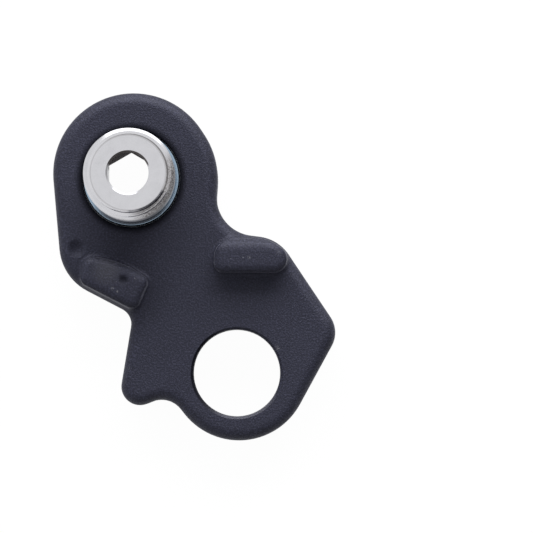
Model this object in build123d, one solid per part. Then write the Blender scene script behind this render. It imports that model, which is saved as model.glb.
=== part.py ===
from build123d import *
import os
from math import acos, atan2, cos, degrees, hypot, pi, sin, sqrt

os.makedirs("parts", exist_ok=True)

# A bicycle derailleur hanger: a forged link that carries the rear derailleur below the wheel axle,
# with the hollow bolt that fastens it to the frame turning freely in its upper boss.
# Millimetres. The origin is on the bolt's axis at the link's inboard face, the one that lies
# against the frame. +Z points inboard, along the bolt towards its tip, and +Y points up.

# Link plate
link_thickness = 6.5
inboard_edge_round = 1.3
outboard_edge_chamfer = 0.4

# Lower bore, for the derailleur's mounting bolt
derailleur_bore = 9.8
derailleur_bore_chamfer = 0.25
derailleur_x = 11.85
derailleur_y = -21.85

# Upper boss, two rounds of one radius a little apart, and the shoulder and hollow below its front
boss_radius = 9.05
boss_front_x = 0.25
boss_front_y = 0.55
boss_rear_x = 0.65
boss_rear_y = -0.05
front_shoulder_x = -2.25
front_shoulder_y = -7.45
front_shoulder_radius = 5.85
front_hollow_x = -1.85
front_hollow_y = -16.35
front_hollow_radius = 1.85

# Lower boss, with the nose ahead of it and the corner behind it, from the derailleur's bore
lower_boss_shift = 0.25
lower_boss_radius = 7.8
nose_ahead = 10.85
nose_below = 1.5
nose_radius = 2.1
nose_hollow_radius = 2.7
nose_hollow_straight = 0.7
rear_corner_behind = 7.95
rear_corner_above = 4.55
rear_corner_radius = 3.1

# Saddle behind the middle, and the hollow neck between it and the upper boss
saddle_x = 13.85
saddle_y = -11.1
saddle_radius = 4.6
neck_radius = 4.35
neck_straight = 1.05

# Lugs, which clasp the frame's dropout and stop the link from turning
lug_height = 3.0
lug_foot_chamfer = 0.25
lug_top_slope_width = 0.55
lug_top_slope_drop = 0.2
lug_draft_angle = 3.0

# Front lug, a block along the flank below the front shoulder
front_lug_inset = 0.5
front_lug_start = 0.3
front_lug_length = 5.3
front_lug_rear_slant = 0.15
front_lug_front_width = 1.1
front_lug_rear_width = 2.1
front_lug_heel_radius = 0.9
front_lug_front_radius = 1.3
front_lug_corner_radius = 0.85
front_lug_crown_radius = 12.0
front_lug_crown_straight = 0.3

# Centre-punch mark on the front lug's top
punch_mark_along = 3.5
punch_mark_across = 1.6
punch_mark_radius = 0.6
punch_mark_depth = 0.27

# Rear lug, a block along the saddle's edge, its top falling away towards that edge
rear_lug_inset = 0.4
rear_lug_width = 3.65
rear_lug_ahead = 4.45
rear_lug_front_radius = 2.1
rear_lug_heel_radius = 0.95
rear_lug_toe_radius = 1.4
rear_lug_toe_straight = 0.7
rear_lug_brow_radius = 2.2
rear_lug_brow_width = 1.4

# Fixing bolt, M10 x 1 and hollow, with its hexagon socket deep inside the head end
thread_diameter = 10.0
thread_length = 8.0
thread_pitch = 1.0
thread_depth = 0.6
thread_band_width = 0.5
lead_in_length = 1.5
tip_face_diameter = 8.25
tip_bore = 4.5
tip_bore_flare_width = 0.2
tip_bore_flare_depth = 0.07
shoulder_diameter = 10.8
shoulder_edge_chamfer = 0.1
head_diameter = 13.6
head_thickness = 2.0
head_edge_chamfer = 0.3
hex_across_flats = 5.0
hex_length = 10.0
hex_mouth_below_face = 1.6
hex_mouth_chamfer = 0.3
key_recess_diameter = 7.2
key_recess_chamfer = 0.3

# Fits between the bolt and the link
running_clearance = 0.12
head_side_clearance = 0.4
end_play = 0.1
head_sink = 0.2
boss_bore_chamfer = 0.1
counterbore_chamfer = 0.3

# Stop ring, a split ring sprung into a groove in the link, which keeps the bolt in its bore
ring_width = 0.85
ring_thickness = 0.9
ring_gap_angle = 40.0
ring_below_face = 2.0
ring_engagement = 0.5
ring_side_clearance = 0.1
ring_seat_clearance = 0.05

# Sizes that follow from those above
boss_bore = shoulder_diameter + 2 * running_clearance
counterbore_diameter = head_diameter + 2 * head_side_clearance
head_outer_z = -link_thickness + head_sink
head_inner_z = head_outer_z + head_thickness
counterbore_floor_z = head_inner_z + end_play
tip_z = thread_length + lead_in_length
hex_mouth_z = -hex_mouth_below_face
ring_outer_radius = boss_bore / 2 + ring_engagement
ring_inner_radius = ring_outer_radius - ring_width
link_groove_radius = ring_outer_radius + ring_seat_clearance
bolt_groove_radius = boss_bore / 2 - ring_width - ring_seat_clearance
groove_height = ring_thickness + 2 * ring_side_clearance
groove_floor_z = -ring_below_face - ring_thickness - ring_side_clearance
groove_top_z = groove_floor_z + groove_height


def tangent_ends(first, second):
    """Ends of the straight that leaves one round and meets the next, tangent to both."""
    dx, dy = second[0] - first[0], second[1] - first[1]
    side = atan2(dy, dx) + acos((second[2] - first[2]) / hypot(dx, dy))
    nx, ny = cos(side), sin(side)
    leave = (first[0] - nx * first[2], first[1] - ny * first[2])
    meet = (second[0] - nx * second[2], second[1] - ny * second[2])
    return leave, meet


def round_between(first, second, radius, straight):
    """Round of a given radius that joins two others, with a short straight on each side of it."""
    dx, dy = second[0] - first[0], second[1] - first[1]
    span = hypot(dx, dy)
    to_first = hypot(first[2] - radius, straight)
    to_second = hypot(second[2] - radius, straight)
    along = (span**2 + to_first**2 - to_second**2) / (2 * span)
    aside = sqrt(to_first**2 - along**2)
    if radius > 0:
        aside = -aside
    x = first[0] + (dx * along + dy * aside) / span
    y = first[1] + (dy * along - dx * aside) / span
    return (x, y, radius)


def arc_about(round_, start, end):
    """Arc of one round from start to end, the way the outline runs."""
    x, y, radius = round_
    a = atan2(start[1] - y, start[0] - x)
    b = atan2(end[1] - y, end[0] - x)
    turn = (b - a) % (2 * pi) if radius > 0 else -((a - b) % (2 * pi))
    middle = a + turn / 2
    through = (x + abs(radius) * cos(middle), y + abs(radius) * sin(middle))
    return ThreePointArc(start, through, end)


def outline(rounds):
    """Face bounded by rounds and their common tangents, counter-clockwise.

    A round is its centre's x and y and its radius, which is negative where the outline is hollow.
    """
    straights = [tangent_ends(rounds[i - 1], rounds[i]) for i in range(len(rounds))]
    edges = []
    for i, round_ in enumerate(rounds):
        start = straights[i][1]
        end = straights[(i + 1) % len(rounds)][0]
        edges.append(Line(*straights[i]))
        edges.append(arc_about(round_, start, end))
    return make_face(edges)


front_shoulder = (front_shoulder_x, front_shoulder_y, front_shoulder_radius)
front_hollow = (front_hollow_x, front_hollow_y, -front_hollow_radius)


def link_rounds():
    """Rounds of the link's outline, from the upper boss down the front and up the rear."""
    boss_front = (boss_front_x, boss_front_y, boss_radius)
    boss_rear = (boss_rear_x, boss_rear_y, boss_radius)
    nose = (derailleur_x - nose_ahead, derailleur_y - nose_below, nose_radius)
    lower_boss = (derailleur_x + lower_boss_shift, derailleur_y + lower_boss_shift, lower_boss_radius)
    nose_hollow = round_between(nose, lower_boss, -nose_hollow_radius, nose_hollow_straight)
    corner = (derailleur_x + rear_corner_behind, derailleur_y + rear_corner_above, rear_corner_radius)
    saddle = (saddle_x, saddle_y, saddle_radius)
    neck = round_between(saddle, boss_rear, -neck_radius, neck_straight)
    return [boss_front, front_shoulder, front_hollow, nose, nose_hollow, lower_boss, corner, saddle,
            neck, boss_rear]


def front_lug_rounds():
    """Rounds of the front lug, from the centre of its lower front round, along the flank."""
    heel = (0, 0, front_lug_heel_radius)
    toe = (front_lug_length, 0, front_lug_corner_radius)
    rear = (front_lug_length - front_lug_rear_slant, front_lug_rear_width, front_lug_corner_radius)
    front = (0, front_lug_front_width, front_lug_front_radius)
    crown = round_between(rear, front, front_lug_crown_radius, front_lug_crown_straight)
    return [heel, toe, rear, crown, front]


def front_lug_place():
    """Place of the front lug: set in from the link's flank and turned along it."""
    start, end = tangent_ends(front_shoulder, front_hollow)
    along_flank = degrees(atan2(end[1] - start[1], end[0] - start[0]))
    flank = Pos(*start, 0) * Rot(0, 0, along_flank)
    return flank * Pos(-front_lug_start, front_lug_inset + front_lug_heel_radius, 0)


def rear_lug_rounds():
    """Rounds of the rear lug: its front end, its toe and the back that follows the saddle."""
    back_radius = saddle_radius - rear_lug_inset
    top = saddle_y + back_radius
    bottom = top - rear_lug_width
    front = saddle_x - rear_lug_ahead
    toe_y = bottom + rear_lug_toe_radius
    toe_reach = hypot(back_radius - rear_lug_toe_radius, rear_lug_toe_straight)
    toe_x = saddle_x + sqrt(toe_reach**2 - (toe_y - saddle_y)**2)
    return [
        (front + rear_lug_front_radius, top - rear_lug_front_radius, rear_lug_front_radius),
        (front + rear_lug_heel_radius, bottom + rear_lug_heel_radius, rear_lug_heel_radius),
        (toe_x, toe_y, rear_lug_toe_radius),
        (saddle_x, saddle_y, back_radius),
    ]


def drafted(rounds):
    """A lug's block, which widens from its top down to inside the plate."""
    top = Pos(0, 0, lug_height) * outline(rounds)
    depth = lug_height + inboard_edge_round
    return extrude(top, depth, dir=(0, 0, -1), taper=-lug_draft_angle)


def sloped(block, top_edges):
    """A lug's block with a shallow slope round its top."""
    return block.chamfer(lug_top_slope_drop, lug_top_slope_width, top_edges)


def make_front_lug():
    block = drafted(front_lug_rounds())
    top = block.faces().sort_by(Axis.Z)[-1]
    return front_lug_place() * sloped(block, top.edges())


def make_rear_lug():
    """The rear lug, whose top curves down over its brow, the side along the saddle's edge."""
    block = drafted(rear_lug_rounds())
    brow_y = saddle_y + saddle_radius - rear_lug_inset - rear_lug_brow_width
    reach = link_thickness + rear_lug_width
    top_left = (brow_y - reach, lug_height)
    side = make_face([
        Line(top_left, (brow_y, lug_height)),
        CenterArc((brow_y, lug_height - rear_lug_brow_radius), rear_lug_brow_radius, 90, -90),
        Polyline((brow_y + rear_lug_brow_radius, lug_height - rear_lug_brow_radius),
                 (brow_y + rear_lug_brow_radius, -reach), (brow_y - reach, -reach), top_left),
    ])
    falling = extrude(Plane.YZ * side, reach, both=True)
    block = block & (Pos(saddle_x, 0, 0) * falling)
    return sloped(block, block.edges().filter_by(lambda edge: edge.center().Z > lug_height / 2))


def with_lug(body, block):
    """The body with one lug added and a slope all along the lug's foot."""
    joined = body + block
    return chamfer(new_edges(body, block, combined=joined), lug_foot_chamfer)


def drum(radius, low, high):
    """Upright cylinder about the bolt's axis, between two heights."""
    return Pos(0, 0, low) * Cylinder(radius, high - low, align=(Align.CENTER, Align.CENTER, Align.MIN))


def flare(radius, low, high):
    """Cone about the bolt's axis, of the given radius at low, closing at 45 degrees towards high."""
    height = high - low
    cone = Cone(radius, radius - abs(height), abs(height), align=(Align.CENTER, Align.CENTER, Align.MIN))
    return Pos(0, 0, low) * (cone if height > 0 else Rot(180, 0, 0) * cone)


def boss_cavity():
    """What is cut from the boss: the bolt's bore, its counterbore and the stop ring's groove."""
    bore = boss_bore / 2
    recess = counterbore_diameter / 2
    cavity = drum(bore, -link_thickness, 0)
    cavity += flare(bore + boss_bore_chamfer, 0, -boss_bore_chamfer)
    cavity += drum(recess, -link_thickness, counterbore_floor_z)
    cavity += flare(recess + counterbore_chamfer, -link_thickness, -link_thickness + counterbore_chamfer)
    return cavity + drum(link_groove_radius, groove_floor_z, groove_top_z)


def derailleur_cavity():
    """The lower bore with a chamfer at each end, about the bolt's axis for now."""
    bore = derailleur_bore / 2
    chamfer_ = derailleur_bore_chamfer
    cavity = drum(bore, -link_thickness, 0)
    cavity += flare(bore + chamfer_, 0, -chamfer_)
    return cavity + flare(bore + chamfer_, -link_thickness, -link_thickness + chamfer_)


def make_link():
    plate = extrude(Pos(0, 0, -link_thickness) * outline(link_rounds()), link_thickness)
    plate = fillet(plate.faces().sort_by(Axis.Z)[-1].edges(), inboard_edge_round)
    plate = chamfer(plate.faces().sort_by(Axis.Z)[0].edges(), outboard_edge_chamfer)
    body = with_lug(plate, make_front_lug())
    body = with_lug(body, make_rear_lug())
    body -= boss_cavity()
    body -= Pos(derailleur_x, derailleur_y, 0) * derailleur_cavity()
    mark = Cone(0, punch_mark_radius, punch_mark_depth, align=(Align.CENTER, Align.CENTER, Align.MAX))
    return body - front_lug_place() * Pos(punch_mark_along, punch_mark_across, lug_height) * mark


def thread_points():
    """Profile of the thread, drawn as rings a pitch apart between two plain bands."""
    crest = thread_diameter / 2
    turns = int((thread_length - 2 * thread_band_width) / thread_pitch)
    points = [(crest, 0)]
    for turn in range(turns):
        start = thread_band_width + turn * thread_pitch
        points += [(crest, start), (crest - thread_depth, start + thread_pitch / 2)]
    return points + [(crest, thread_band_width + turns * thread_pitch), (crest, thread_length)]


def make_bolt():
    """The fixing bolt: one turned profile, then the hexagon socket."""
    head, shoulder = head_diameter / 2, shoulder_diameter / 2
    tip, bore, recess = tip_face_diameter / 2, tip_bore / 2, key_recess_diameter / 2
    profile = Polyline(
        (recess + key_recess_chamfer, head_outer_z),
        (head - head_edge_chamfer, head_outer_z),
        (head, head_outer_z + head_edge_chamfer),
        (head, head_inner_z),
        (shoulder, head_inner_z),
        (shoulder, groove_floor_z),
        (bolt_groove_radius, groove_floor_z),
        (bolt_groove_radius, groove_top_z),
        (shoulder, groove_top_z),
        (shoulder, -shoulder_edge_chamfer),
        (shoulder - shoulder_edge_chamfer, 0),
        *thread_points(),
        (tip, tip_z),
        (bore + tip_bore_flare_width, tip_z),
        (bore, tip_z - tip_bore_flare_depth),
        (bore, hex_mouth_z),
        (recess, hex_mouth_z),
        (recess, head_outer_z + key_recess_chamfer),
        close=True,
    )
    turned = revolve(make_face(Plane.XZ * profile), Axis.Z)
    across_corners = hex_across_flats / cos(pi / 6)
    socket = extrude(
        Pos(0, 0, hex_mouth_z) * RegularPolygon(across_corners / 2, 6, rotation=30), hex_length)
    mouth_radius = hex_across_flats / 2 + hex_mouth_chamfer
    return turned - socket - flare(mouth_radius, hex_mouth_z, hex_mouth_z + hex_mouth_chamfer)


def make_stop_ring():
    """The stop ring in the link's groove, its gap facing up."""
    band = Circle(ring_outer_radius) - Circle(ring_inner_radius)
    reach = 2 * ring_outer_radius
    half_gap = ring_gap_angle / 2 * pi / 180
    wedge = make_face(Polyline((0, 0), (reach * sin(half_gap), reach * cos(half_gap)),
                               (-reach * sin(half_gap), reach * cos(half_gap)), close=True))
    return extrude(Pos(0, 0, groove_floor_z + ring_side_clearance) * (band - wedge), ring_thickness)


if __name__ == "__main__":
    export_step(make_link(), "parts/link.step")
    export_step(make_bolt(), "parts/fixing_bolt.step")
    export_step(make_stop_ring(), "parts/stop_ring.step")
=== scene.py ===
"""Looks of a bicycle derailleur hanger: its finishes, its threaded bolt, and the stage it lies on."""

from math import atan2, cos, hypot, pi, radians, sin

import bmesh
import bpy
from bpy.props import FloatProperty, FloatVectorProperty, IntProperty, PointerProperty
from mathutils import Matrix, Vector


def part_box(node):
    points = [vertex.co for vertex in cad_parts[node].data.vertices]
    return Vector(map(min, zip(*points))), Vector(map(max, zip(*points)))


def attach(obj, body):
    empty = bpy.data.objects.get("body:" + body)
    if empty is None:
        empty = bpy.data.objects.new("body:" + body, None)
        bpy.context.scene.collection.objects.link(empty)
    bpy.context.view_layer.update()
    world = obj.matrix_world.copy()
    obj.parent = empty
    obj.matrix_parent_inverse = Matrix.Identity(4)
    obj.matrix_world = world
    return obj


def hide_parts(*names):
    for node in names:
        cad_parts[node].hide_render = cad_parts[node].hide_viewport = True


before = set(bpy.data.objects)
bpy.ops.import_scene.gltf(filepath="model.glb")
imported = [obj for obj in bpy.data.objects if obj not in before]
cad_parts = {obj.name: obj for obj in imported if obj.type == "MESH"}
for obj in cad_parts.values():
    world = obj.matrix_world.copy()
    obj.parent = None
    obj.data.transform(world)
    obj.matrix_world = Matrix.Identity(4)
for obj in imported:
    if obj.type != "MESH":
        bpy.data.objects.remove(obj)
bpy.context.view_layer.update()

bl_info = {
    "name": "Derailleur hanger",
    "version": (1, 0, 0),
    "blender": (4, 5, 0),
    "location": "3D View > Sidebar > Hanger",
    "description": "Finishes of the link, the threaded fixing bolt, and a plain studio stage",
    "category": "Object",
}

MM = 0.001
LINK_LOW, LINK_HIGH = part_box("link")
BOLT_LOW, BOLT_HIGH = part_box("fixing_bolt")

# Places on the link, in millimetres
LUG_TOP = LINK_HIGH.z / MM
LOWER_BORE = (11.85, -21.85)
LOWER_BORE_RIM = 5.15
DISH = (-6.1, -7.9, -0.1)
PUNCH_MARK = (-0.7, -11.5, 2.75)
# Centre of the painted highlight on the front lug's upper edge
PAINTED_HIGHLIGHT = (-2.6, -10.4, LUG_TOP)

# The lugs' tops: centre, turn, half the length and half the width
FRONT_LUG = ((-1.94, -11.63), radians(-21), 3.5, 1.7)
REAR_LUG = ((13.07, -8.64), 0.0, 3.8, 1.9)

# Spots where the film is rubbed through: x, y, z and radius, in millimetres
RUBBED = (
    (-1.94, -12.46, LUG_TOP, 0.14),
    (-1.38, -12.79, LUG_TOP, 0.12),
    (0.62, -11.35, LUG_TOP, 0.10),
    (-2.6, -11.9, LUG_TOP, 0.08),
    (13.22, -8.98, LUG_TOP, 0.14),
    (15.27, -8.16, LUG_TOP, 0.08),
    (16.5, -8.5, LUG_TOP, 0.16),
    (11.1, -9.9, LUG_TOP, 0.09),
    (16.37, -19.06, 0.0, 0.22),
    (-0.39, -21.2, 0.0, 0.25),
    (-0.62, -21.8, 0.0, 0.22),
    (-0.83, -22.9, -0.2, 0.16),
)

# Direction of the thread's side that is painted darker, as shade, from +X
SHADED_SIDE = radians(-28)

# Edges that turn less than this look smooth
SHARP_EDGE = radians(28)

# The lights: where they stand, in metres, and their width and height
KEY_PLACE = Vector((0.1, 0.78, 0.45))
KEY_SIZE = (1.1, 0.8)
FILL_PLACE = Vector((-0.62, 0.36, 0.42))
FILL_SIZE = (0.7, 0.7)

# What the lights face, and where the camera stands and looks, in millimetres
LIT_POINT = Vector((7.0, -10.0, 0.0))
CAMERA_PLACE = Vector((13.2, -22.0, 360.0))
CAMERA_AIM = Vector((15.17, -9.93, 0.0))


# Sizes and colours that a user would change

def length(name, description, default):
    """A length property, given in millimetres and kept in metres."""
    return FloatProperty(
        name=name, description=description, default=default * MM, unit="LENGTH", precision=4)


def fraction(name, description, default):
    """A property that runs from 0 to 1."""
    return FloatProperty(
        name=name, description=description, default=default, min=0, max=1, subtype="FACTOR")


def level(name, description, default):
    """The strength of light that a surface or the world gives."""
    return FloatProperty(name=name, description=description, default=default, min=0)


def watts(name, description, default):
    """The power of a light."""
    return FloatProperty(name=name, description=description, default=default, min=0, unit="POWER")


def colour(name, description, default):
    """A colour property."""
    return FloatVectorProperty(
        name=name, description=description, default=default, size=3, subtype="COLOR", min=0, max=1)


class LinkFinish(bpy.types.PropertyGroup):
    black: colour("Black", "Colour of the anodised film", (0.0155, 0.016, 0.026))
    sheen: colour("Sheen", "Tint of the light that the film mirrors", (0.79, 0.80, 1.0))
    # Besides real wear, this colour paints highlights on the front lug and on the lower bore's chamfer
    wear_and_highlight: colour("Worn", "Colour where the film is rubbed through", (0.42, 0.42, 0.44))
    roughness: fraction("Roughness", "Roughness of the blasted film", 0.52)
    grain: length("Grain", "Size of the bead-blasted grain", 0.2)
    grain_depth: length("Grain depth", "Depth of the bead-blasted grain", 0.07)
    crown: length("Crown", "Height of the rounding of the lugs' tops", 0.15)
    softness: length("Edge softness", "Radius to which the sharp edges look rounded", 0.45)


class BoltShape(bpy.types.PropertyGroup):
    pitch: length("Pitch", "Distance from one turn of the thread to the next", 1.0)
    thread_radius: length("Thread radius", "Radius of the thread's crests", 5.0)
    root_radius: length("Root radius", "Radius of the thread's roots and of the neck below it", 4.4)
    neck_length: length("Neck length", "Plain stretch between the shoulder and the thread", 0.7)
    lead_in: length("Lead-in", "Length of the cone at the tip", 1.5)
    tip_radius: length("Tip radius", "Radius of the flat face at the tip", 4.125)
    tip_bore: length("Tip bore", "Radius of the bore in the tip", 2.25)
    tip_bore_flare: length("Tip bore flare", "Width of the shallow flare round the bore in the tip", 0.2)
    tip_bore_flare_depth: length("Tip bore flare depth", "Depth of that flare", 0.15)
    shoulder_radius: length("Shoulder radius", "Radius of the shoulder that turns in the link", 5.4)
    shoulder_chamfer: length("Shoulder chamfer", "Chamfer round the shoulder", 0.1)
    groove_radius: length("Groove radius", "Radius at the bottom of the stop ring's groove", 4.58)
    groove_top: length("Groove top", "Depth of the groove's upper side below the link's face", 1.9)
    groove_bottom: length("Groove bottom", "Depth of the groove's lower side below the link's face", 3.0)
    head_thickness: length("Head thickness", "Thickness of the head", 2.0)
    head_chamfer: length("Head chamfer", "Chamfer round the head's outer face", 0.3)
    key_across: length("Key size", "Width across the flats of the hexagon socket", 5.0)
    socket_mouth: length("Socket mouth", "Depth of the socket's mouth below the link's face", 1.6)
    socket_length: length("Socket length", "Length of the hexagon socket", 10.0)
    socket_chamfer: length("Socket chamfer", "Chamfer at the socket's mouth", 0.3)
    recess_radius: length("Recess radius", "Radius of the recess that leads to the socket", 3.6)
    segments: IntProperty(
        name="Segments", description="Sides round the bolt", default=144, min=24, max=288)


class BoltFinish(bpy.types.PropertyGroup):
    steel: colour("Steel", "Colour of the turned and plated steel", (0.93, 0.93, 0.97))
    shoulder: colour("Shoulder", "Colour of the shoulder, which has a bluish film", (0.48, 0.64, 0.80))
    # Painted shade: darkens the thread's lower right side and grooves, and draws a dark line round the tip's
    # face
    bolt_shade: colour(
        "Soiled", "Colour of the brownish film on the thread's lower right side", (0.28, 0.26, 0.26))
    # Painted shade on the upper walls of the bore and socket
    inside: colour("Inside", "Colour of the dull wall of the socket", (0.175, 0.16, 0.16))
    # Painted shadow on the shoulder's lower side and the thread just above it
    lower_shadow: colour("Foot", "Colour of the shoulder's dark lower side", (0.13, 0.13, 0.155))
    roughness: fraction("Roughness", "Roughness of the turned steel", 0.17)
    tool_marks: length("Tool marks", "Distance from one turning mark to the next", 0.16)


class RingFinish(bpy.types.PropertyGroup):
    steel: colour("Steel", "Colour of the spring steel", (0.30, 0.31, 0.34))
    roughness: fraction("Roughness", "Roughness of the spring steel", 0.38)


class StageLook(bpy.types.PropertyGroup):
    floor: colour("Floor", "Colour of the floor", (0.90, 0.90, 0.90))
    glow: fraction("Glow", "Light that the floor adds where it is seen", 0.975)
    seen_share: fraction("Seen share", "Share of the floor's colour that takes light where it is seen", 0.04)
    world: level("World", "Strength of the light from all round", 0.22)
    mirrored: level("Mirrored", "Strength of the pale surroundings where they are mirrored", 0.66)
    dark_side: fraction("Dark side", "Share of that strength that stays towards the lower right", 0.45)
    key: watts("Key", "Power of the soft light from the top, which reaches all but the bolt", 15.0)
    fill: watts("Fill", "Power of the weaker light from the upper left", 3.0)
    glint: watts("Glint", "Power of the light from the top that reaches the bolt alone", 2.7)
    lens: FloatProperty(name="Lens", description="Focal length", default=217.4, min=1, unit="CAMERA")


# Shader maths

class Value:
    """One output of a node tree. Maths on it adds the nodes that work it out."""

    def __init__(self, tree, socket):
        self.tree = tree
        self.socket = socket

    def maths(self, operation, first, second=0.0):
        return self.tree.maths(operation, first, second)

    def __add__(self, other):
        return self.maths("ADD", self, other)

    def __radd__(self, other):
        return self.maths("ADD", other, self)

    def __sub__(self, other):
        return self.maths("SUBTRACT", self, other)

    def __rsub__(self, other):
        return self.maths("SUBTRACT", other, self)

    def __mul__(self, other):
        return self.maths("MULTIPLY", self, other)

    def __truediv__(self, other):
        return self.maths("DIVIDE", self, other)

    def __pow__(self, other):
        return self.maths("POWER", self, other)

    def __abs__(self):
        return self.maths("ABSOLUTE", self)


class Tree:
    """The node tree of a material or world, built from nothing."""

    def __init__(self, owner):
        owner.use_nodes = True
        self.nodes = owner.node_tree.nodes
        self.links = owner.node_tree.links
        self.nodes.clear()

    def node(self, kind, settings=None, inputs=None, output=0):
        """Adds a node: its settings first, then the values or links of its sockets."""
        made = self.nodes.new(kind)
        for name, setting in (settings or {}).items():
            setattr(made, name, setting)
        for name, given in (inputs or {}).items():
            if isinstance(given, Value):
                self.links.new(given.socket, made.inputs[name])
            else:
                made.inputs[name].default_value = given
        return Value(self, made.outputs[output]) if made.outputs else made

    def maths(self, operation, first, second=0.0):
        """One of the maths node's operations on one or two values."""
        return self.node("ShaderNodeMath", {"operation": operation}, {0: first, 1: second})

    def place(self):
        """The point on the surface, in millimetres in the object's own frame."""
        point = self.node("ShaderNodeTexCoord", output="Object")
        return self.node("ShaderNodeVectorMath", {"operation": "SCALE"}, {0: point, "Scale": 1 / MM})

    def axes(self, place):
        """x, y and z of a point, as values."""
        split = self.node("ShaderNodeSeparateXYZ", inputs={0: place})
        outputs = split.socket.node.outputs
        return [Value(self, outputs[i]) for i in range(3)]

    def noise(self, place, size, detail=2.0, roughness=0.5):
        """Cloudy noise whose features are about size millimetres across."""
        inputs = {"Vector": place, "Scale": 1 / size, "Detail": detail, "Roughness": roughness}
        return self.node("ShaderNodeTexNoise", inputs=inputs)

    def ramp(self, value, low, high, start=0.0, end=1.0):
        """Runs smoothly from start to end as the value goes from low to high."""
        inputs = {"Value": value, "From Min": low, "From Max": high, "To Min": start, "To Max": end}
        return self.node("ShaderNodeMapRange", {"interpolation_type": "SMOOTHSTEP"}, inputs)

    def reach(self, x, y):
        """Distance from an upright axis."""
        return (x * x + y * y) ** 0.5

    def near(self, place, centre, inner, outer):
        """1 within inner millimetres of a point, falling to 0 at outer."""
        gap = self.node("ShaderNodeVectorMath", {"operation": "DISTANCE"}, {0: place, 1: centre}, "Value")
        return self.ramp(gap, inner, outer, 1.0, 0.0)

    def mix(self, factor, first, second):
        """Blends two colours."""
        return self.node("ShaderNodeMix", {"data_type": "RGBA"}, {0: factor, 6: first, 7: second}, output=2)

    def bump(self, height, depth, **normal):
        """A bump whose height, from 0 to 1, stands for depth millimetres, on the given normal."""
        return self.node("ShaderNodeBump", inputs={"Height": height, "Distance": depth * MM, **normal})

    def softened(self, radius, crisp):
        """A normal that rounds the edges to a radius, except where crisp is 1."""
        soft = self.node("ShaderNodeBevel", {"samples": 12}, {"Radius": radius})
        sharp = self.node("ShaderNodeNewGeometry", output="Normal")
        return self.node("ShaderNodeMix", {"data_type": "VECTOR"}, {0: crisp, 4: soft, 5: sharp}, output=1)

    def rays(self, *kinds):
        """1 where the surface is met by a ray of each of the given kinds, as values."""
        outputs = self.node("ShaderNodeLightPath").socket.node.outputs
        return [Value(self, outputs[kind]) for kind in kinds]

    def surface(self, shader):
        self.node("ShaderNodeOutputMaterial", inputs={"Surface": shader})


def rgba(shade, scale=1.0):
    """A shade, scaled, with full alpha."""
    return (*(part * scale for part in shade), 1.0)


def voronoi_specks(tree, place, size, share):
    """Small sharp specks, one in each cell of the given size, in the given share of the cells."""
    inputs = {"Vector": place, "Scale": 1 / size}
    cells = tree.node("ShaderNodeTexVoronoi", inputs=inputs)
    outputs = cells.socket.node.outputs
    chosen = tree.node("ShaderNodeSeparateColor", inputs={0: Value(tree, outputs["Color"])})
    speck = tree.ramp(cells, 0.03, 0.09, 1.0, 0.0)
    return speck * tree.ramp(chosen, 1 - share, 1 - share + 0.01)


def dull(tree, base):
    """A dark surface that hardly mirrors anything, mixed in as painted shade."""
    inputs = {"Base Color": base, "Roughness": 0.7, "Specular IOR Level": 0.05}
    return tree.node("ShaderNodeBsdfPrincipled", inputs=inputs)


def crowned(tree, place, centre, turn, half_length, half_width):
    """How far a lug's top falls off towards its sides, from 0 at the middle to 1."""
    x, y, z = tree.axes(place)
    along = ((x - centre[0]) * cos(turn) + (y - centre[1]) * sin(turn)) / half_length
    across = ((y - centre[1]) * cos(turn) - (x - centre[0]) * sin(turn)) / half_width
    top = tree.ramp(z, LUG_TOP - 0.8, LUG_TOP - 0.5) * tree.near(place, (*centre, LUG_TOP), 4.6, 5.0)
    along, across = along * along, across * across
    return (along * along + across * across) * top


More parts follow.
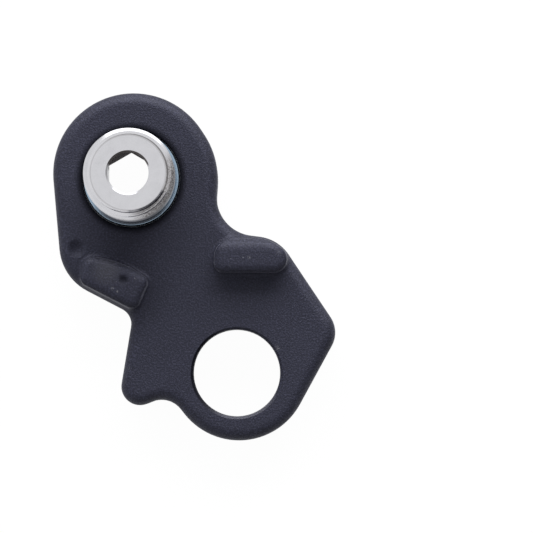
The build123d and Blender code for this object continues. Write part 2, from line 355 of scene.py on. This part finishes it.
def anodised(finish):
    """Bead-blasted aluminium with a matte black anodised film, rubbed a little where it stands out, with
    painted shade round the bolt and in its marks and a painted highlight on the front lug.
    """
    material = bpy.data.materials.new("black_anodised")
    tree = Tree(material)
    place = tree.place()
    x, y, z = tree.axes(place)
    grain = tree.noise(place, finish.grain / MM, 2.0, 0.6)
    clouds = tree.noise(place, 3.0, 3.0, 0.6)

    # Bare metal: specks, mostly on the lugs, and rubbed spots; also a painted highlight, in the bare metal's
    # colour, on the front lug's upper edge
    on_lugs = tree.ramp(z, LUG_TOP - 0.8, LUG_TOP - 0.2)
    specks = voronoi_specks(tree, place, 0.7, 0.4) * (on_lugs * 0.4 + 0.1)
    rubbed = sum((tree.near(place, spot[:3], spot[3] * 0.5, spot[3] * 2.0) for spot in RUBBED), 0.0)
    flecks = tree.noise(place, 0.11, 1.0)
    wear_and_highlight = specks + rubbed * tree.ramp(flecks, 0.52, 0.64, 0.0, 0.35)
    painted_highlight = tree.near(place, PAINTED_HIGHLIGHT, 0.4, 2.2) * tree.ramp(z, LUG_TOP - 0.6, LUG_TOP - 0.2)
    wear_and_highlight = wear_and_highlight + painted_highlight * 0.06

    # The lower bore's chamfer, which stays crisp; its lower side gets a painted highlight in the bare
    # metal's colour
    bore_x, bore_y = x - LOWER_BORE[0], y - LOWER_BORE[1]
    from_bore = tree.reach(bore_x, bore_y)
    near_bore = tree.ramp(from_bore, LOWER_BORE_RIM + 0.1, LOWER_BORE_RIM + 0.2, 1.0, 0.0)
    bore_edge = tree.ramp(from_bore, LOWER_BORE_RIM - 0.03, LOWER_BORE_RIM + 0.05, 1.0, 0.0)
    wear_and_highlight = wear_and_highlight + bore_edge * tree.ramp(bore_y / from_bore, -0.85, -0.3, 0.09, 0.0)

    base = tree.mix(tree.ramp(clouds, 0.3, 0.7), rgba(finish.black, 0.8), rgba(finish.black))
    base = tree.mix(tree.ramp(grain, 0.4, 0.75), base, rgba(finish.black, 2.4))
    base = tree.mix(wear_and_highlight, base, rgba(finish.wear_and_highlight))
    dish = tree.near(place, DISH, 0.1, 1.2)
    falls = crowned(tree, place, *FRONT_LUG) + crowned(tree, place, *REAR_LUG)
    roughness = tree.ramp(clouds, 0.3, 0.7, finish.roughness - 0.04, finish.roughness + 0.04)
    height = grain * (finish.grain_depth / MM) + (1 - dish) * 0.3 - falls * (finish.crown / MM)
    shader = tree.node("ShaderNodeBsdfPrincipled", inputs={
        "Base Color": base,
        "Roughness": roughness + dish * 0.2,
        "Specular IOR Level": 0.38,
        "Specular Tint": rgba(finish.sheen),
        "Sheen Weight": 0.14,
        "Sheen Roughness": 0.35,
        "Sheen Tint": rgba(finish.sheen),
        "Normal": tree.bump(height, 1.0, Normal=tree.softened(finish.softness, near_bore)),
    })

    # Painted shade, as a dark dull surface: round the bolt, in the dish and the punch mark, and on the left
    # of the lower bore's chamfer
    painted_shade = tree.ramp(tree.reach(x, y), 5.6, 6.5, 0.9, 0.0) * tree.ramp(z, -1.0, -0.3)
    painted_shade = painted_shade + dish * 0.25 + tree.near(place, PUNCH_MARK, 0.25, 0.7) * 0.6
    painted_shade = painted_shade + bore_edge * tree.ramp(bore_x / from_bore, -0.8, -0.2, 0.8, 0.0)
    shader = tree.node("ShaderNodeMixShader", inputs={
        0: painted_shade, 1: shader, 2: dull(tree, rgba(finish.black, 0.3))})
    tree.surface(shader)
    return material


def turned_steel(finish, shape):
    """Turned steel with fine tool marks and a bluish shoulder, with painted shade on the bore's upper wall,
    in the thread's grooves, on its lower right side and on the shoulder's lower side.
    """
    material = bpy.data.materials.new("turned_steel")
    tree = Tree(material)
    place = tree.place()
    x, y, z = tree.axes(place)
    radius = tree.reach(x, y)
    along = (radius + z) / (finish.tool_marks / MM)
    inputs = {"W": along, "Scale": 1.0, "Detail": 2.0}
    marks = tree.node("ShaderNodeTexNoise", {"noise_dimensions": "1D"}, inputs)
    stains = tree.noise(place, 1.2, 3.0)
    speckle = tree.noise(place, 0.14, 2.0)

    # Painted shade: on the upper walls of the bore and socket, and as a dark line round the edge of the
    # tip's face
    tip, tip_radius = BOLT_HIGH.z / MM, shape.tip_radius / MM
    flare_radius = (shape.tip_bore + shape.tip_bore_flare) / MM
    inside = tree.ramp(radius, 3.0, 3.1, 1.0, 0.0) * tree.ramp(z, tip - 0.3, tip - 0.2, 1.0, 0.0)
    flare = tree.ramp(radius, flare_radius - 0.02, flare_radius + 0.01, 1.0, 0.0)
    inside = tree.maths("MAXIMUM", inside, flare) * tree.ramp(y / radius, 0.25, 0.45)
    # Painted shade: a dark line round the edge of the tip's face
    edge = tree.ramp(abs(radius - tip_radius), 0.02, 0.12, 1.0, 0.0)
    outside = tree.ramp(radius, tip_radius + 0.02, tip_radius + 0.1)

    # Painted shade on the thread's lower right side and in its grooves, the bluish shoulder, and a painted
    # shadow on its lower side
    side = (x * cos(SHADED_SIDE) + y * sin(SHADED_SIDE)) / radius
    bolt_shade = tree.ramp(side, 0.45, 0.85) * outside * tree.ramp(speckle, 0.35, 0.6, 1.0, 0.4)
    turn = tree.maths("FRACT", z / (shape.pitch / MM) - tree.maths("ARCTAN2", y, x) / (2 * pi))
    groove = tree.ramp(abs(turn - 0.125), 0.1, 0.3, 1.0, 0.0) * outside
    groove = groove * tree.ramp(z, shape.neck_length / MM, 1.2)
    low = tree.ramp(z, 0.5, 1.5, 1.0, 0.0) * outside
    # Painted shadow below the bolt, on the shoulder's lower side
    lower_shadow = tree.ramp(z, 2.5, 6.0, 1.0, 0.0) * outside * tree.ramp(y / radius, -0.9, -0.45, 1.0, 0.0)
    lower_shadow = lower_shadow * tree.ramp(radius, 5.22, 5.32, 1.0, 0.0)

    base = tree.mix(tree.ramp(stains, 0.35, 0.75), rgba(finish.steel), rgba(finish.steel, 0.94))
    base = tree.mix(low, base, rgba(finish.shoulder))
    base = tree.mix(bolt_shade * tree.ramp(z, 1.0, 6.0), base, rgba(finish.bolt_shade))
    base = tree.mix(groove * 0.75, base, rgba(finish.bolt_shade, 0.4))
    base = tree.mix(edge * 0.3, base, rgba(finish.bolt_shade))
    base = tree.mix(lower_shadow * 0.85, base, rgba(finish.lower_shadow))
    shader = tree.node("ShaderNodeBsdfPrincipled", inputs={
        "Base Color": base,
        "Metallic": 1.0,
        "Roughness": tree.ramp(marks, 0.2, 0.8, finish.roughness - 0.05, finish.roughness + 0.08),
        "Normal": tree.bump(marks, 0.006),
    })
    shader = tree.node("ShaderNodeMixShader", inputs={
        0: inside, 1: shader, 2: dull(tree, rgba(finish.inside))})
    tree.surface(shader)
    return material


def spring_steel(finish):
    """Dark spring steel with faint streaks along the wire."""
    material = bpy.data.materials.new("spring_steel")
    tree = Tree(material)
    place = tree.place()
    streaks = tree.noise(place, 0.4, 3.0)
    shader = tree.node("ShaderNodeBsdfPrincipled", inputs={
        "Base Color": tree.mix(streaks, rgba(finish.steel, 0.8), rgba(finish.steel)),
        "Metallic": 1.0,
        "Roughness": tree.ramp(streaks, 0.3, 0.7, finish.roughness - 0.06, finish.roughness + 0.06),
        "Normal": tree.bump(streaks, 0.004),
    })
    tree.surface(shader)
    return material


# Meshes

def new_piece(name, mesh_maker, material):
    """Makes a piece from a bmesh in millimetres, smooth with its sharp edges kept."""
    bm = bmesh.new()
    mesh_maker(bm)
    bmesh.ops.scale(bm, vec=(MM, MM, MM), verts=bm.verts)
    bmesh.ops.recalc_face_normals(bm, faces=bm.faces)
    for face in bm.faces:
        face.smooth = True
    for edge in bm.edges:
        edge.smooth = edge.calc_face_angle(0.0) < SHARP_EDGE
    mesh = bpy.data.meshes.new(name)
    bm.to_mesh(mesh)
    bm.free()
    mesh.materials.append(material)
    piece = bpy.data.objects.new(name, mesh)
    bpy.context.scene.collection.objects.link(piece)
    return piece


def thread_profile(shape):
    """Points of the thread's outline over one pitch: root, flank, crest and flank."""
    pitch, crest, root = (value / MM for value in (shape.pitch, shape.thread_radius, shape.root_radius))
    flat = pitch / 8
    flank = (pitch - 3 * flat) / 2
    return [
        (root, 0.0),
        (root, 2 * flat),
        ((root + crest) / 2, 2 * flat + flank / 2),
        (crest, 2 * flat + flank),
        (crest, 3 * flat + flank),
        ((root + crest) / 2, 3 * flat + 1.5 * flank),
    ]


def add_thread(bm, shape):
    """The threaded tube from the neck to the tip, open at both ends."""
    pitch, root = shape.pitch / MM, shape.root_radius / MM
    top = BOLT_HIGH.z / MM
    turns = int(top / pitch) + 4
    profile = thread_profile(shape)
    points = [(radius, (turn - 2) * pitch + height) for turn in range(turns) for radius, height in profile]
    verts = [bm.verts.new((radius, 0, height)) for radius, height in points]
    edges = [bm.edges.new(pair) for pair in zip(verts, verts[1:])]
    bmesh.ops.spin(
        bm, geom=verts + edges, cent=(0, 0, 0), axis=(0, 0, 1), dvec=(0, 0, pitch / shape.segments),
        angle=2 * pi, steps=shape.segments, use_merge=False, use_duplicate=False)
    bmesh.ops.remove_doubles(bm, verts=bm.verts, dist=1e-4)
    for height, keeps_above in ((0.0, True), (top, False)):
        bmesh.ops.bisect_plane(
            bm, geom=bm.verts[:] + bm.edges[:] + bm.faces[:], dist=1e-5, plane_co=(0, 0, height),
            plane_no=(0, 0, 1), clear_inner=keeps_above, clear_outer=not keeps_above)
    slope = (shape.thread_radius - shape.tip_radius) / shape.lead_in
    neck = shape.neck_length / MM
    for vert in bm.verts:
        radius = hypot(vert.co.x, vert.co.y)
        limit = shape.tip_radius / MM + (top - vert.co.z) * slope
        limit = min(limit, root + max(0.0, vert.co.z - neck))
        scale = min(radius, limit) / radius
        vert.co.x *= scale
        vert.co.y *= scale


def rim(bm, height):
    """Edges of the open rim at a height."""
    return [e for e in bm.edges if e.is_boundary and all(abs(v.co.z - height) < 1e-3 for v in e.verts)]


def hexagon_radius(angle, apothem):
    """Distance from the centre to a hexagon's side, with one corner towards +Y."""
    turned = (angle + pi / 6) % (pi / 3) - pi / 6
    return apothem / cos(turned)


def draw_out(bm, edges, height, radius):
    """Extends an open rim to a height and a radius or outline, and returns the new rim."""
    made = bmesh.ops.extrude_edge_only(bm, edges=edges)["geom"]
    verts = [g for g in made if isinstance(g, bmesh.types.BMVert)]
    for vert in verts:
        angle = atan2(vert.co.y, vert.co.x)
        reach = radius(angle) if callable(radius) else radius
        vert.co = Vector((reach * cos(angle), reach * sin(angle), height))
    fresh = set(verts)
    return [g for g in made if isinstance(g, bmesh.types.BMEdge) and all(v in fresh for v in g.verts)]


def add_bolt(bm):
    """The whole bolt: its thread, then the tip, bore, socket, head and shoulder in one skin."""
    shape = bpy.context.scene.hanger_bolt_shape
    add_thread(bm, shape)
    top, bottom = BOLT_HIGH.z / MM, BOLT_LOW.z / MM
    mm = {name: getattr(shape, name) / MM for name in shape.__annotations__ if name != "segments"}
    bore, apothem = mm["tip_bore"], mm["key_across"] / 2
    mouth, recess, shoulder = -mm["socket_mouth"], mm["recess_radius"], mm["shoulder_radius"]
    socket_chamfer, head_chamfer = mm["socket_chamfer"], mm["head_chamfer"]
    head_radius = BOLT_HIGH.x / MM
    past_corners = apothem * 1.16

    def hexagon(angle):
        return hexagon_radius(angle, apothem)

    rounds = [
        (top, bore + mm["tip_bore_flare"]),
        (top - mm["tip_bore_flare_depth"], bore),
        (mouth + mm["socket_length"], bore),
        (mouth + mm["socket_length"], hexagon),
        (mouth + socket_chamfer, hexagon),
        (mouth, past_corners),
        (mouth, recess),
        (bottom + head_chamfer, recess),
        (bottom, recess + head_chamfer),
        (bottom, head_radius - head_chamfer),
        (bottom + head_chamfer, head_radius),
        (bottom + mm["head_thickness"], head_radius),
        (bottom + mm["head_thickness"], shoulder),
        (-mm["groove_bottom"], shoulder),
        (-mm["groove_bottom"], mm["groove_radius"]),
        (-mm["groove_top"], mm["groove_radius"]),
        (-mm["groove_top"], shoulder),
        (-mm["shoulder_chamfer"], shoulder),
        (0.0, shoulder - mm["shoulder_chamfer"]),
    ]
    edges = rim(bm, top)
    start = rim(bm, 0.0)
    for height, radius in rounds:
        edges = draw_out(bm, edges, height, radius)
    bmesh.ops.bridge_loops(bm, edges=edges + start)


# Operators

class HANGER_OT_link(bpy.types.Operator):
    """Gives the link its black anodised finish"""
    bl_idname = "hanger.link"
    bl_label = "Finish the link"

    def execute(self, context):
        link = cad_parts["link"]
        link.data.materials.clear()
        link.data.materials.append(anodised(context.scene.hanger_link))
        return {"FINISHED"}


class HANGER_OT_bolt(bpy.types.Operator):
    """Makes the fixing bolt with its real thread"""
    bl_idname = "hanger.bolt"
    bl_label = "Make the fixing bolt"

    def execute(self, context):
        scene = context.scene
        material = turned_steel(scene.hanger_bolt, scene.hanger_bolt_shape)
        bolt = new_piece("threaded_bolt", add_bolt, material)
        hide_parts("fixing_bolt")
        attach(bolt, "fixing_bolt")
        return {"FINISHED"}


class HANGER_OT_ring(bpy.types.Operator):
    """Gives the stop ring its spring steel finish"""
    bl_idname = "hanger.ring"
    bl_label = "Finish the stop ring"

    def execute(self, context):
        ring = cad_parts["stop_ring"]
        ring.data.materials.clear()
        ring.data.materials.append(spring_steel(context.scene.hanger_ring))
        return {"FINISHED"}


def floor_material(look):
    """Pale floor that keeps a shadow and shows white to the camera and in reflections."""
    material = bpy.data.materials.new("floor")
    tree = Tree(material)
    camera, glossy, through = tree.rays("Is Camera Ray", "Is Glossy Ray", "Is Transmission Ray")
    seen = camera + glossy + through
    shader = tree.node("ShaderNodeBsdfPrincipled", inputs={
        "Base Color": tree.mix(seen, rgba(look.floor), rgba(look.floor, look.seen_share)),
        "Roughness": 0.9,
        "Specular IOR Level": 0.0,
        "Emission Color": (1, 1, 1, 1),
        "Emission Strength": (camera + through) * look.glow + glossy * look.mirrored,
    })
    tree.surface(shader)
    return material


def add_floor(bm):
    """A wide flat floor on which the link lies."""
    side = 1500.0
    bmesh.ops.create_grid(bm, x_segments=1, y_segments=1, size=side)
    bmesh.ops.translate(bm, vec=(0, 0, LINK_LOW.z / MM), verts=bm.verts)


def soft_light(name, place, size, power):
    """A flat light that faces the part and that the camera doesn't see."""
    data = bpy.data.lights.new(name, "AREA")
    data.shape = "RECTANGLE"
    data.size, data.size_y = size
    data.energy = power
    light = bpy.data.objects.new(name, data)
    light.visible_camera = False
    light.location = place
    light.rotation_euler = (LIT_POINT * MM - place).to_track_quat("-Z", "Y").to_euler()
    bpy.context.scene.collection.objects.link(light)
    return light


def link_light(light, piece, state):
    """Makes a light reach one piece alone, or all but that one."""
    receivers = bpy.data.collections.new(light.name)
    receivers.objects.link(piece)
    receivers.collection_objects[0].light_linking.link_state = state
    light.light_linking.receiver_collection = receivers


def white_world(look):
    """White to the camera, soft light on the object, and pale surroundings where they are mirrored."""
    world = bpy.data.worlds.new("studio")
    bpy.context.scene.world = world
    tree = Tree(world)
    camera, glossy, through = tree.rays("Is Camera Ray", "Is Glossy Ray", "Is Transmission Ray")
    x, y = tree.axes(tree.node("ShaderNodeTexCoord", output="Generated"))[:2]
    mirrored = tree.ramp(x * 0.85 - y * 0.5, 0.35, 0.8, 1.0, look.dark_side) * look.mirrored
    strength = (camera + through) * (1.0 - look.world) + glossy * (mirrored - look.world) + look.world
    shader = tree.node("ShaderNodeBackground", inputs={"Color": (1, 1, 1, 1), "Strength": strength})
    tree.node("ShaderNodeOutputWorld", inputs={"Surface": shader})


def add_camera(lens):
    """The camera, almost straight above the part, with +Y up in its picture."""
    data = bpy.data.cameras.new("camera")
    data.sensor_width = 36.0
    data.lens = lens
    camera = bpy.data.objects.new("camera", data)
    bpy.context.scene.collection.objects.link(camera)
    back = (CAMERA_PLACE - CAMERA_AIM).normalized()
    right = Vector((0, 1, 0)).cross(back).normalized()
    turn = Matrix((right, back.cross(right), back)).transposed()
    camera.matrix_world = Matrix.Translation(CAMERA_PLACE * MM) @ turn.to_4x4()
    bpy.context.scene.camera = camera


class HANGER_OT_stage(bpy.types.Operator):
    """Sets the floor, the lights, the world and the camera"""
    bl_idname = "hanger.stage"
    bl_label = "Set the stage"

    def execute(self, context):
        scene = context.scene
        look = scene.hanger_stage
        scene.view_settings.view_transform = "Standard"
        floor = new_piece("floor", add_floor, floor_material(look))
        white_world(look)
        bolt = scene.objects["threaded_bolt"]
        link_light(soft_light("key", KEY_PLACE, KEY_SIZE, look.key), bolt, "EXCLUDE")
        link_light(soft_light("glint", KEY_PLACE, KEY_SIZE, look.glint), bolt, "INCLUDE")
        fill = soft_light("fill", FILL_PLACE, FILL_SIZE, look.fill)
        fill.visible_glossy = False
        add_camera(look.lens)
        return {"FINISHED"}


class HANGER_PT_panel(bpy.types.Panel):
    """Lists the steps that make the hanger"""
    bl_idname = "HANGER_PT_panel"
    bl_label = "Derailleur hanger"
    bl_space_type = "VIEW_3D"
    bl_region_type = "UI"
    bl_category = "Hanger"

    def draw(self, context):
        for operator in OPERATORS:
            self.layout.operator(operator.bl_idname)
        for group in GROUPS:
            box = self.layout.box()
            settings = getattr(context.scene, group)
            for name in settings.__annotations__:
                box.prop(settings, name)


GROUPS = {
    "hanger_link": LinkFinish,
    "hanger_bolt_shape": BoltShape,
    "hanger_bolt": BoltFinish,
    "hanger_ring": RingFinish,
    "hanger_stage": StageLook,
}
OPERATORS = (HANGER_OT_link, HANGER_OT_bolt, HANGER_OT_ring, HANGER_OT_stage)


def register():
    for kind in (*GROUPS.values(), *OPERATORS, HANGER_PT_panel):
        bpy.utils.register_class(kind)
    for name, kind in GROUPS.items():
        setattr(bpy.types.Scene, name, PointerProperty(type=kind))


def unregister():
    for name in GROUPS:
        delattr(bpy.types.Scene, name)
    for kind in (HANGER_PT_panel, *OPERATORS, *GROUPS.values()):
        bpy.utils.unregister_class(kind)


def main():
    register()
    for operator in (bpy.ops.hanger.link, bpy.ops.hanger.bolt, bpy.ops.hanger.ring, bpy.ops.hanger.stage):
        operator()


if __name__ == "__main__":
    main()
